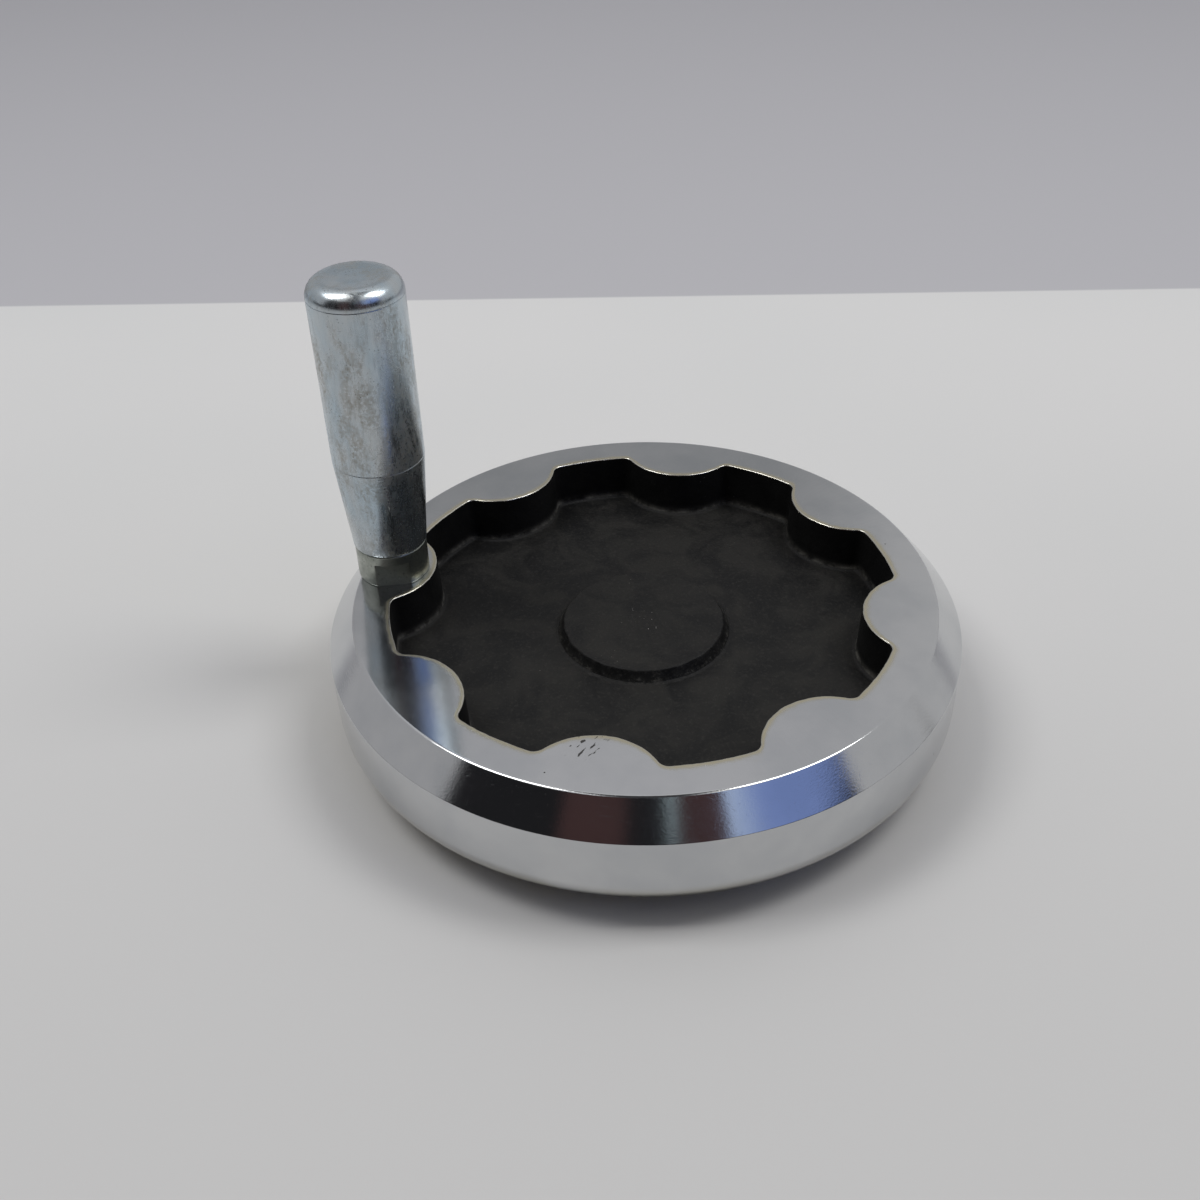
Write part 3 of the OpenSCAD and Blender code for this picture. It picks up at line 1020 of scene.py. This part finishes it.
class HandwheelHandleSizes(PropertyGroup):
    """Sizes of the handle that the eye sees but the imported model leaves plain."""

    collar_height: length_property("Collar height", "Height of the collar", 9.3 * MM)
    flat_width: length_property("Across flats", "Width across the wrench flats", 16 * MM)
    flat_height: length_property("Flat height", "Height of the wrench flats", 6.6 * MM)
    flat_turn: angle_property("Flat direction", "Direction one flat faces", -72)
    stud_radius: length_property("Stud radius", "Radius of the threaded stud", 5 * MM)
    journal_radius: length_property("Journal radius", "Radius of the bearing journals", 6 * MM)
    waist_cut: length_property("Waist", "Cut between the journals", 0.6 * MM)
    low_radius: length_property("Grip's low radius", "Radius of the grip's lower end", 9.35 * MM)
    taper_length: length_property("Taper", "Length of the grip's taper", 25 * MM)
    edge_radius: length_property("Edge radius", "Round of the grip's top edge", 4.1 * MM)
    end_thickness: length_property("End thickness", "Thickness of the closed end", 7.5 * MM)
    dish_radius: length_property("Dish radius", "Radius of the shallow dish on top", 7.0 * MM)
    dish_depth: length_property("Dish depth", "Depth of the shallow dish on top", 0.2 * MM)
    run_fit: length_property("Running fit", "Clearance of grip on spindle", 0.05 * MM)
    groove_room: length_property("Groove room", "Room round the snap ring", 0.4 * MM)
    line_depth: length_property("Line depth", "Depth of the two scribed lines", 0.09 * MM)
    mark_count: count_property("Tool marks", "Turned rings below the taper's start", 6, 0)
    mark_pitch: length_property("Tool mark pitch", "Distance between turned rings", 1.0 * MM)
    mark_depth: length_property("Tool mark depth", "Depth of a turned ring", 0.03 * MM)


def flat_angles(count, reach, turn):
    """Even angles and, besides, the four corners where two opposite flats meet the round."""
    corners = [turn + side + sign * reach for side in (0, math.pi) for sign in (-1, 1)]
    return sorted({round(a % TURN, 6) for a in even_angles(count) + corners})


class HandwheelSpindle(Operator):
    """Builds the fixed spindle: stud, collar with two wrench flats, and journals inside the grip"""

    bl_idname = "handwheel.spindle"
    bl_label = "Spindle"

    def execute(self, context):
        handle = context.scene.handwheel_handle
        face = CAD["face_z"]
        collar_top = face + handle.collar_height
        stud, journal, collar = handle.stud_radius, handle.journal_radius, CAD["collar_r"]
        waist = journal - handle.waist_cut
        ring, end = CAD["ring_mid_z"], CAD["spindle_z"]
        groove = journal - CAD["ring_wire"] / 2
        groove_half = CAD["ring_wire"] / 2 + 0.1 * MM
        low_end = ring + 6 * MM
        high_start = end - 15 * MM
        path = rounded(
            [
                (0, CAD["stud_z"], 0),
                (stud - MM, CAD["stud_z"], 0.1 * MM),
                (stud, CAD["stud_z"] + MM, 0.1 * MM),
                (stud, face - 2 * MM, 0.1 * MM),
                (stud - 0.8 * MM, face - 1.2 * MM, 0.1 * MM),
                (stud - 0.8 * MM, face, 0.1 * MM),
                (collar, face, 0.3 * MM),
                (collar, collar_top, 0.45 * MM),
                (journal, collar_top, 0.1 * MM),
                (journal, ring - groove_half, 0.05 * MM),
                (groove, ring - groove_half, 0.05 * MM),
                (groove, ring + groove_half, 0.05 * MM),
                (journal, ring + groove_half, 0.05 * MM),
                (journal, low_end, 0.1 * MM),
                (waist, low_end + handle.waist_cut, 0.1 * MM),
                (waist, high_start - handle.waist_cut, 0.1 * MM),
                (journal, high_start, 0.1 * MM),
                (journal, end - MM, 0.1 * MM),
                (journal - MM, end, 0.1 * MM),
                (0, end, 0),
            ],
            steps=4,
            support=0.02 * MM,
        )
        ledge = face + handle.flat_height
        profile = []
        for p, q in zip(path, path[1:] + path[-1:]):
            profile.append((p.x, p.y))
            if abs(p.x - collar) < 1e-6 and p.y < ledge < q.y:
                profile += [(collar, ledge + step) for step in (-0.3 * MM, -0.02 * MM, 0.02 * MM)]
        half_width = handle.flat_width / 2
        reach = math.acos(half_width / collar)

        def flatten(radius, z, angle):
            if not face - 0.01 * MM <= z < ledge or radius <= half_width:
                return radius
            off = abs((angle - handle.flat_turn + math.pi / 2) % math.pi - math.pi / 2)
            return min(radius, half_width / max(math.cos(off), 0.1)) if off < reach + 0.01 else radius

        angles = flat_angles(144, reach, handle.flat_turn)
        mesh = lathe("spindle", profile, angles, (CAD["axis_x"], CAD["axis_y"]), flatten)
        smooth(mesh, sharp=30)
        mesh.materials.append(finish_of(context, "milled_collar_steel"))
        set_piece("spindle", mesh, "wheel", "collar_steel", "handle_spindle")
        return {"FINISHED"}


def scribed(z, depth, width, radius_at):
    """A fine V-shaped line round the grip at height z."""
    clear = width + 0.05 * MM
    return [
        (radius_at(z - clear), z - clear),
        (radius_at(z - width), z - width),
        (radius_at(z) - depth, z),
        (radius_at(z + width), z + width),
        (radius_at(z + clear), z + clear),
    ]


class HandwheelGrip(Operator):
    """Builds the revolving grip with its scribed lines, turned rings and shallow dish"""

    bl_idname = "handwheel.grip"
    bl_label = "Grip"

    def execute(self, context):
        handle = context.scene.handwheel_handle
        low, top = CAD["grip_z"], CAD["grip_top"]
        full, small = CAD["grip_r"], handle.low_radius
        shoulder = low + handle.taper_length
        bore = handle.journal_radius + handle.run_fit
        ring = CAD["ring_mid_z"]
        groove_half = CAD["ring_wire"] / 2 + handle.groove_room
        groove = handle.journal_radius + groove_half

        def taper(z):
            return small + (full - small) * min(1.0, (z - low) / handle.taper_length)

        outside = [(bore, low), (small - 0.3 * MM, low), (small - 0.08 * MM, low + 0.08 * MM)]
        outside.append((taper(low + 0.3 * MM), low + 0.3 * MM))
        first_mark = shoulder - handle.mark_pitch * handle.mark_count
        outside += [(taper(z), z) for z in (low + 3 * MM, low + 9 * MM, first_mark - MM)]
        for i in range(handle.mark_count):
            outside += scribed(first_mark + handle.mark_pitch * i, handle.mark_depth, 0.12 * MM, taper)
        outside += scribed(shoulder, handle.line_depth, 0.14 * MM, taper)
        outside += [(full, shoulder + (top - shoulder) * i / 8) for i in range(1, 7)]
        outside += scribed(top - handle.edge_radius - 0.15 * MM, handle.line_depth, 0.12 * MM, taper)
        dish = handle.dish_radius
        cap = rounded(
            [
                (full, top - handle.edge_radius - 0.5 * MM, 0),
                (full, top, handle.edge_radius),
                (dish, top, 2.0 * MM),
                (dish - 3.0 * MM, top - handle.dish_depth, 8.0 * MM),
                (0, top - handle.dish_depth, 0),
            ],
            steps=14,
            support=0.02 * MM,
        )
        inside = [
            (0, top - handle.end_thickness),
            (bore, top - handle.end_thickness),
            (bore, ring + groove_half),
            (groove, ring + groove_half),
            (groove, ring - groove_half),
            (bore, ring - groove_half),
            (bore, low),
        ]
        profile = outside + [tuple(p) for p in cap[2:]] + inside
        mesh = lathe("grip", profile, even_angles(160), (CAD["axis_x"], CAD["axis_y"]))
        smooth(mesh, sharp=50)
        mesh.materials.append(finish_of(context, "zinc_plated_steel"))
        set_piece("grip", mesh, "grip", "zinc_steel", "handle_grip")
        return {"FINISHED"}


class HandwheelHardware(Operator):
    """Gives the set screws and the snap ring their blackened steel"""

    bl_idname = "handwheel.hardware"
    bl_label = "Set screws and snap ring"

    def execute(self, context):
        steel = finish_of(context, "black_oxide_steel")
        for name in ("hub_set_screws", "spindle_snap_ring"):
            piece = frame["nodes"][name]
            piece.data.materials.clear()
            piece.data.materials.append(steel)
        return {"FINISHED"}


# ------------------------------------------------------------------ finishes and stage settings


class HandwheelFinish(PropertyGroup):
    """Colours of the finishes."""

    nick_place: FloatVectorProperty(
        name="Nicks",
        description="Where a few nicks lie together",
        size=3,
        default=(-5 * MM, -57.2 * MM, 35 * MM),
        subtype="TRANSLATION",
    )

    chrome_colour: colour_property("Chromium", "Bright chromium plate", "#CECFD0")
    chrome_haze_colour: colour_property("Chromium haze", "Plate under a faint film", "#C3C5C7")
    # worn plate on the pocket's edge, and also the painted warm reflection low on the rim's band
    chrome_thin_and_reflection_colour: colour_property("Thin chromium", "Plate that thins at the edge, and a painted warm reflection low on the band", "#B9B093")
    pit_colour: colour_property("Pits", "Iron in pits and nicks", "#2A2724")
    paint_dark: colour_property("Paint", "Full black paint", "#121212")
    paint_brown: colour_property("Thin paint", "Paint that lets the iron through", "#232220")
    # painted shade for the pocket's side and the front of the boss's foot
    painted_shade_colour: colour_property("Painted shade", "Painted shade on the pocket's side and the boss's foot", "#080808")
    paint_worn: colour_property("Paint on grains", "Paint rubbed on the high grains", "#34322F")
    # pale dust specks, and also the painted highlight along the corner between the pocket's floor and wall
    dust_and_corner_highlight: colour_property("Dust", "Pale dust, and the painted highlight in the pocket's corner", "#6E6C66")
    paint_bare: colour_property("Bare grains", "Grains that the paint has left", "#A9A6A0")
    zinc_colour: colour_property("Zinc", "Bright zinc plate", "#C5CBCE")
    zinc_blue: colour_property("Blue zinc", "Zinc with a blue cast", "#B6C5CF")
    zinc_dull: colour_property("Dull zinc", "Streaks of dull zinc", "#99A2A4")
    zinc_stain: colour_property("Stain", "Brown storage stains", "#8A7C62")
    zinc_speck: colour_property("Speck", "Dark specks", "#45423D")
    collar_colour: colour_property("Collar", "Plated milled steel", "#AFB3AB")
    collar_dull: colour_property("Dull collar", "Duller plate on the collar", "#8F948C")
    iron_colour: colour_property("Iron", "Machined cast iron", "#8F8D89")
    iron_oiled: colour_property("Oiled iron", "Machined iron under oil", "#787570")
    oxide_colour: colour_property("Black oxide", "Blackened steel", "#2B2C2E")
    oxide_worn: colour_property("Worn oxide", "Blackened steel, rubbed", "#3E3B38")


class HandwheelStage(PropertyGroup):
    """The camera, the light and the floor."""

    view_turn: angle_property("View turn", "Turn of the view about the upright axis", 11.52)
    camera_aside: length_property("Camera aside", "Camera's place across the view", -0.01174)
    camera_back: length_property("Camera back", "Camera's distance in front of the wheel's axis", 0.27278)
    camera_up: length_property("Camera height", "Camera's height above the front face", 0.20347)
    camera_pitch: angle_property("Camera pitch", "How far the camera looks down", 36.99)
    camera_roll: angle_property("Camera roll", "Lean of the camera", -1.88)
    lens: number_property("Lens", "Focal length in millimetres", 40.14)
    shift_across: number_property("Shift across", "Lens shift across the view", 0.0023)
    shift_up: number_property("Shift up", "Lens shift up the view", -0.0029)
    floor_gap: length_property("Floor gap", "Gap that keeps the floor off the hub's plane", 0.02 * MM)
    floor_size: length_property("Floor size", "Side of the floor", 6.0)
    paper_colour: colour_property("Paper", "The floor's paper", "#D9D8D6")
    paper_shade: colour_property("Paper shade", "The paper's darker patches", "#D6D6D4")
    # painted shade on the paper near the viewer
    paper_near_shade: colour_property("Near paper", "The paper's nearer part", "#C6C5C3")
    bench_depth: length_property("Bench depth", "Pale paper ends this far behind the wheel's axis", 0.2515)
    bench_turn: angle_property("Bench turn", "Turn of the bench's far edge", -2.4)
    backdrop_colour: colour_property("Backdrop", "The greyer paper behind the bench", "#B7B6B9")
    room_colour: colour_property("Room", "Pale walls all round", "#B1B1B3")
    room_back_colour: colour_property("Far wall", "A duller strip of the far wall", "#9A9B9D")
    room_right_colour: colour_property("Right wall", "The wall to the right, nearer a window", "#BFBFC0")
    room_high_colour: colour_property("High walls", "The walls' upper part", "#C9C9CC")
    ceiling_colour: colour_property("Ceiling", "The pale ceiling", "#EEEEEE")
    dark_colour: colour_property("Dark side", "The dark side of the room, behind the camera", "#222224")
    shade_colour: colour_property("Shade", "The shade that stands over the camera", "#3C3C3E")
    warm_colour: colour_property("Warm card", "A dull red-brown card", "#473535")
    streak_colour: colour_property("Gap", "Bright gaps between the cards", "#97A5AA")
    blue_colour: colour_property("Blue card", "A soft blue card", "#8499D2")
    blue_edge_colour: colour_property("Blue card's edge", "The brighter edge of the blue card", "#B4C6E6")
    light_power: number_property("Light power", "Power of each soft light, in watts", 5.5)
    light_width: length_property("Light width", "Width of each soft light", 0.4)
    light_length: length_property("Light length", "Length of each soft light", 0.6)
    light_aside: length_property("Light aside", "Soft lights' distance to either side", 0.62)
    light_height: length_property("Light height", "Soft lights' height", 1.2)
    room_light: number_property("Room light", "Strength of the room's light", 1.0)


def stage_axes(stage):
    """The view's own right and forward directions on the floor."""
    c, s = math.cos(stage.view_turn), math.sin(stage.view_turn)
    return Vector((c, s, 0)), Vector((-s, c, 0))


def studio_world(stage):
    """A pale room whose side behind the camera is dark, with a dull red-brown and a soft blue card in it,
    and a bright ceiling. A mirror finish needs something to mirror."""
    world = bpy.data.worlds.new("studio")
    world.use_nodes = True
    tree = world.node_tree
    tree.nodes.clear()
    right, forward = stage_axes(stage)
    ray = add(tree, "ShaderNodeTexCoord").outputs["Generated"]

    def towards(direction):
        made = add(tree, "ShaderNodeVectorMath", {0: ray, 1: tuple(direction)}, operation="DOT_PRODUCT")
        return made.outputs["Value"]

    # directions are an azimuth, 0 towards the viewer and + to the right, and a height, both in degrees
    azimuth = math_node(tree, "ARCTAN2", towards(right), towards(-forward))
    height = math_node(tree, "ARCSINE", towards((0, 0, 1)))

    def above(value, low, high):
        return ramp(tree, value, math.radians(low), math.radians(high))

    def band(value, low, high, soft):
        return times(tree, above(value, low - soft, low + soft), above(value, high + soft, high - soft))

    def patch(azimuths, heights, soft):
        return times(tree, band(azimuth, *azimuths, soft), band(height, *heights, soft))

    far_wall = times(tree, ramp(tree, towards(forward), 0.55, 0.85), band(height, 27, 36, 4))
    overhead = times(
        tree,
        ramp(tree, towards(right), -0.24, -0.14),
        ramp(tree, towards(right), 0.25, 0.15),
        ramp(tree, towards(forward), 0.4, 0.3),
        above(height, 47, 53),
    )
    blue = lay(tree, stage.blue_edge_colour, stage.blue_colour, above(azimuth, 26, 40))
    # from the walls to the cards that stand in front of them
    layers = (
        (above(height, 34, 52), stage.room_high_colour),
        (far_wall, stage.room_back_colour),
        (ramp(tree, towards(right), 0.13, 0.26), stage.room_right_colour),
        (above(height, 52, 70), stage.ceiling_colour),
        (patch((-69, 68), (-20, 50), 2.5), stage.dark_colour),
        (patch((-100, 100), (-20, 7), 3), stage.dark_colour),
        (overhead, stage.shade_colour),
        (patch((-31, -9), (0, 49), 2), stage.warm_colour),
        (patch((9.5, 40), (0, 49), 1), stage.warm_colour),
        (patch((5, 9), (33.6, 49), 0.6), stage.streak_colour),
        (patch((25.4, 70), (24, 51), 1.2), blue),
    )
    colour = stage.room_colour
    for factor, layer in layers:
        colour = lay(tree, colour, layer, factor)
    light = add(tree, "ShaderNodeBackground", {"Color": colour, "Strength": stage.room_light})
    add(tree, "ShaderNodeOutputWorld", {"Surface": light.outputs[0]})
    return world


class HandwheelStudio(Operator):
    """Sets up the pale floor, the soft light and the camera"""

    bl_idname = "handwheel.studio"
    bl_label = "Studio"

    def execute(self, context):
        stage = context.scene.handwheel_stage
        right, forward = stage_axes(stage)
        half = stage.floor_size / 2
        mesh = bpy.data.meshes.new("floor")
        corners = [(-half, -half, 0), (half, -half, 0), (half, half, 0), (-half, half, 0)]
        mesh.from_pydata(corners, [], [(0, 1, 2, 3)])
        mesh.materials.append(studio_paper(stage))
        floor = link("floor", mesh)
        floor.location.z = CAD["hub_z"] - stage.floor_gap

        for name, side in (("left_light", -1), ("right_light", 1)):
            lamp = bpy.data.lights.new(name, "AREA")
            lamp.shape = "RECTANGLE"
            lamp.size, lamp.size_y = stage.light_width, stage.light_length
            lamp.energy = stage.light_power
            light = bpy.data.objects.new(name, lamp)
            context.scene.collection.objects.link(light)
            light.location = side * stage.light_aside * right + Vector((0, 0, stage.light_height))
            light.rotation_euler = (-light.location).to_track_quat("-Z", "Y").to_euler()

        context.scene.world = studio_world(stage)
        context.scene.view_settings.view_transform = "Standard"

        lens = bpy.data.cameras.new("camera")
        lens.lens = stage.lens
        lens.sensor_width = 36
        lens.shift_x, lens.shift_y = stage.shift_across, stage.shift_up
        lens.clip_start, lens.clip_end = 0.01, 20
        camera = bpy.data.objects.new("camera", lens)
        context.scene.collection.objects.link(camera)
        look = forward * math.cos(stage.camera_pitch) - Vector((0, 0, math.sin(stage.camera_pitch)))
        level_up = right.cross(look)
        c, s = math.cos(stage.camera_roll), math.sin(stage.camera_roll)
        across = c * right + s * level_up
        up = c * level_up - s * right
        camera.matrix_world = Matrix((across, up, -look)).transposed().to_4x4()
        camera.location = right * stage.camera_aside - forward * stage.camera_back
        camera.location.z = CAD["face_z"] + stage.camera_up
        context.scene.camera = camera
        return {"FINISHED"}


# ------------------------------------------------------------------ panel and registration


class HandwheelPanel(Panel):
    """The handwheel's settings and its build steps"""

    bl_idname = "VIEW3D_PT_handwheel"
    bl_label = "Handwheel"
    bl_space_type = "VIEW_3D"
    bl_region_type = "UI"
    bl_category = "Handwheel"

    def draw(self, context):
        for group in PROPERTIES:
            settings = getattr(context.scene, group)
            box = self.layout.box()
            for name in settings.bl_rna.properties.keys():
                if name not in ("rna_type", "name"):
                    box.prop(settings, name)
        for step in STEPS:
            self.layout.operator(step.bl_idname)


PROPERTIES = {
    "handwheel_wheel": HandwheelWheelSizes,
    "handwheel_handle": HandwheelHandleSizes,
    "handwheel_finish": HandwheelFinish,
    "handwheel_stage": HandwheelStage,
}
STEPS = (
    HandwheelRim,
    HandwheelWeb,
    HandwheelHub,
    HandwheelSpindle,
    HandwheelGrip,
    HandwheelHardware,
    HandwheelStudio,
)


def register():
    """Registers the settings, the build steps and the panel."""
    for cls in (*PROPERTIES.values(), *STEPS, HandwheelPanel):
        bpy.utils.register_class(cls)
    for name, cls in PROPERTIES.items():
        setattr(bpy.types.Scene, name, PointerProperty(type=cls))


def unregister():
    """Takes them away again."""
    for name in PROPERTIES:
        delattr(bpy.types.Scene, name)
    for cls in reversed((*PROPERTIES.values(), *STEPS, HandwheelPanel)):
        bpy.utils.unregister_class(cls)


def main():
    """Builds every piece in order."""
    register()
    bpy.ops.handwheel.rim()
    bpy.ops.handwheel.web()
    bpy.ops.handwheel.hub()
    bpy.ops.handwheel.spindle()
    bpy.ops.handwheel.grip()
    bpy.ops.handwheel.hardware()
    bpy.ops.handwheel.studio()


if __name__ == "__main__":
    main()
